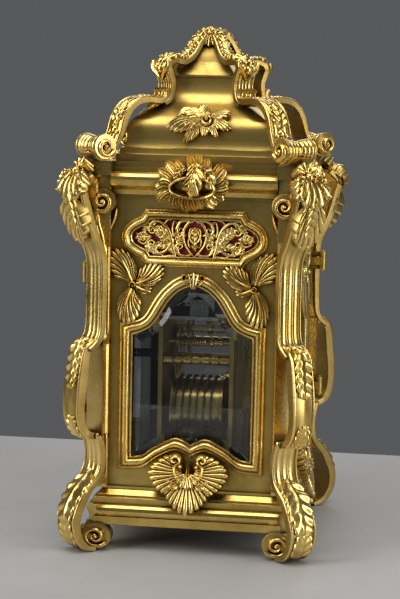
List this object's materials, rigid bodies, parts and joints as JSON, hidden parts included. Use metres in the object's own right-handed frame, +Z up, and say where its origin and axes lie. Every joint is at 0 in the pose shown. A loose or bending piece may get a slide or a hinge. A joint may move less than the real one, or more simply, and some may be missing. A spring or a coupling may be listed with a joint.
{
  "type": "carriage clock",
  "caption": "Tall gilt rococo carriage clock with glazed sides, hinged front and rear doors, scroll pilasters, domed top and a fusee movement with platform escapement.",
  "frame": {"origin": "on the floor plane under the middle of the four feet", "axes": "+Z up; -Y is the dial face with the front door, +Y the rear door, +X and -X the glazed sides"},
  "size_m": [0.1794, 0.1514, 0.3],
  "materials": {
    "gilt_brass": "polished gilt",
    "satin_gilt": "satin",
    "movement_brass": "satin",
    "dark_wood": "satin",
    "bevelled_glass": "clear polished",
    "red_cloth": "woven",
    "silvered_dial": "satin silvered",
    "blued_steel": "polished",
    "steel": "satin"
  },
  "bodies": {
    "case": {"back_plate": "movement_brass", "balance_cock": "movement_brass", "barrel_arbor": "steel", "base_board": "dark_wood", "base_plinth": "gilt_brass", "chain_run": "steel", "corner_pilaster_front_left": "gilt_brass", "corner_pilaster_front_right": "gilt_brass", "corner_pilaster_rear_left": "gilt_brass", "corner_pilaster_rear_right": "gilt_brass", "cornice": "gilt_brass", "dial": "silvered_dial", "dome": "gilt_brass", "dome_mounts": "gilt_brass", "fret_cloth_left": "red_cloth", "fret_cloth_right": "red_cloth", "front_frame": "satin_gilt", "front_plate": "movement_brass", "hairspring": "blued_steel", "hinge_pins": "gilt_brass", "pillars": "movement_brass", "platform": "movement_brass", "rear_frame": "satin_gilt", "ridge_scroll_front_left": "gilt_brass", "ridge_scroll_front_right": "gilt_brass", "ridge_scroll_rear_left": "gilt_brass", "ridge_scroll_rear_right": "gilt_brass", "shell_mounts": "gilt_brass", "side_glass_left": "bevelled_glass", "side_glass_right": "bevelled_glass", "side_panel_left": "satin_gilt", "side_panel_right": "satin_gilt", "side_window_frame_left": "gilt_brass", "side_window_frame_right": "gilt_brass", "sound_fret_left": "gilt_brass", "sound_fret_right": "gilt_brass", "spandrel_mounts": "gilt_brass", "top_crest": "gilt_brass", "wreath_mounts": "gilt_brass"},
    "front_door_body": {"front_door": "satin_gilt", "front_door_glass": "bevelled_glass"},
    "front_knob_body": {"front_door_knob": "gilt_brass"},
    "rear_door_body": {"rear_door": "satin_gilt", "rear_door_glass": "bevelled_glass"},
    "rear_knob_body": {"rear_door_knob": "gilt_brass"},
    "centre_body": {"minute_hand": "blued_steel", "centre_wheel": "movement_brass"},
    "hour_body": {"hour_hand": "blued_steel"},
    "minute_wheel_body": {"minute_wheel": "movement_brass"},
    "third_body": {"third_wheel": "movement_brass"},
    "contrate_body": {"contrate_wheel": "movement_brass"},
    "escape_body": {"escape_wheel": "movement_brass"},
    "lever_body": {"pallet_lever": "steel"},
    "balance_body": {"balance_wheel": "movement_brass"},
    "regulator_body": {"regulator_index": "blued_steel"},
    "barrel_body": {"spring_barrel": "movement_brass", "chain_turns": "steel", "mainspring": "blued_steel"},
    "fusee_body": {"fusee": "movement_brass", "great_wheel": "movement_brass"}
  },
  "joints": [
    {"name": "front_door_hinge", "type": "hinge", "parent": "case", "child": "front_door_body", "pos_m": [0.0585, -0.0635, 0.1195], "axis": [0, 0, 1], "range_deg": [0, 110]},
    {"name": "front_door_knob_turn", "type": "hinge", "parent": "front_door_body", "child": "front_knob_body", "pos_m": [-0.0533, -0.055, 0.112], "axis": [0, 1, 0], "range_deg": [0, 90]},
    {"name": "rear_door_hinge", "type": "hinge", "parent": "case", "child": "rear_door_body", "pos_m": [-0.0585, 0.0635, 0.1195], "axis": [0, 0, 1], "range_deg": [0, 110]},
    {"name": "rear_door_knob_turn", "type": "hinge", "parent": "rear_door_body", "child": "rear_knob_body", "pos_m": [0.0533, 0.055, 0.112], "axis": [0, 1, 0], "range_deg": [0, 90]},
    {"name": "centre_turn", "type": "hinge", "parent": "case", "child": "centre_body", "pos_m": [0, 0, 0.105], "axis": [0, 1, 0], "continuous": true},
    {"name": "hour_turn", "type": "hinge", "parent": "case", "child": "hour_body", "pos_m": [0, -0.03, 0.105], "axis": [0, 1, 0], "continuous": true},
    {"name": "minute_wheel_turn", "type": "hinge", "parent": "case", "child": "minute_wheel_body", "pos_m": [0.012, -0.026, 0.105], "axis": [0, 1, 0], "continuous": true},
    {"name": "third_turn", "type": "hinge", "parent": "case", "child": "third_body", "pos_m": [-0.013, 0, 0.11745], "axis": [0, 1, 0], "continuous": true},
    {"name": "contrate_turn", "type": "hinge", "parent": "case", "child": "contrate_body", "pos_m": [0.00038, 0, 0.12245], "axis": [0, 1, 0], "continuous": true},
    {"name": "escape_turn", "type": "hinge", "parent": "case", "child": "escape_body", "pos_m": [0.00038, -0.00025, 0.132], "axis": [0, 0, 1], "continuous": true},
    {"name": "lever_rock", "type": "hinge", "parent": "case", "child": "lever_body", "pos_m": [0.0104, 0, 0.135], "axis": [0, 0, 1], "range_deg": [-8, 8]},
    {"name": "balance_swing", "type": "hinge", "parent": "case", "child": "balance_body", "pos_m": [0.0215, 0, 0.138], "axis": [0, 0, 1], "range_deg": [-150, 150], "stiffness_Nm_per_rad": 0.000013},
    {"name": "regulator_turn", "type": "hinge", "parent": "case", "child": "regulator_body", "pos_m": [0.0215, 0, 0.1434], "axis": [0, 0, 1], "range_deg": [-20, 20]},
    {"name": "barrel_turn", "type": "hinge", "parent": "case", "child": "barrel_body", "pos_m": [0.022, 0, 0.076], "axis": [0, 1, 0], "continuous": true},
    {"name": "fusee_turn", "type": "hinge", "parent": "case", "child": "fusee_body", "pos_m": [-0.015, 0, 0.077], "axis": [0, 1, 0], "continuous": true}
  ],
  "couplings": [
    {"joint": "hour_turn", "follows": "centre_turn", "ratio": 0.083333},
    {"joint": "minute_wheel_turn", "follows": "centre_turn", "ratio": -0.33333},
    {"joint": "third_turn", "follows": "centre_turn", "ratio": -8},
    {"joint": "contrate_turn", "follows": "centre_turn", "ratio": 60},
    {"joint": "fusee_turn", "follows": "centre_turn", "ratio": -0.11111},
    {"joint": "barrel_turn", "follows": "centre_turn", "ratio": -0.066667}
  ]
}
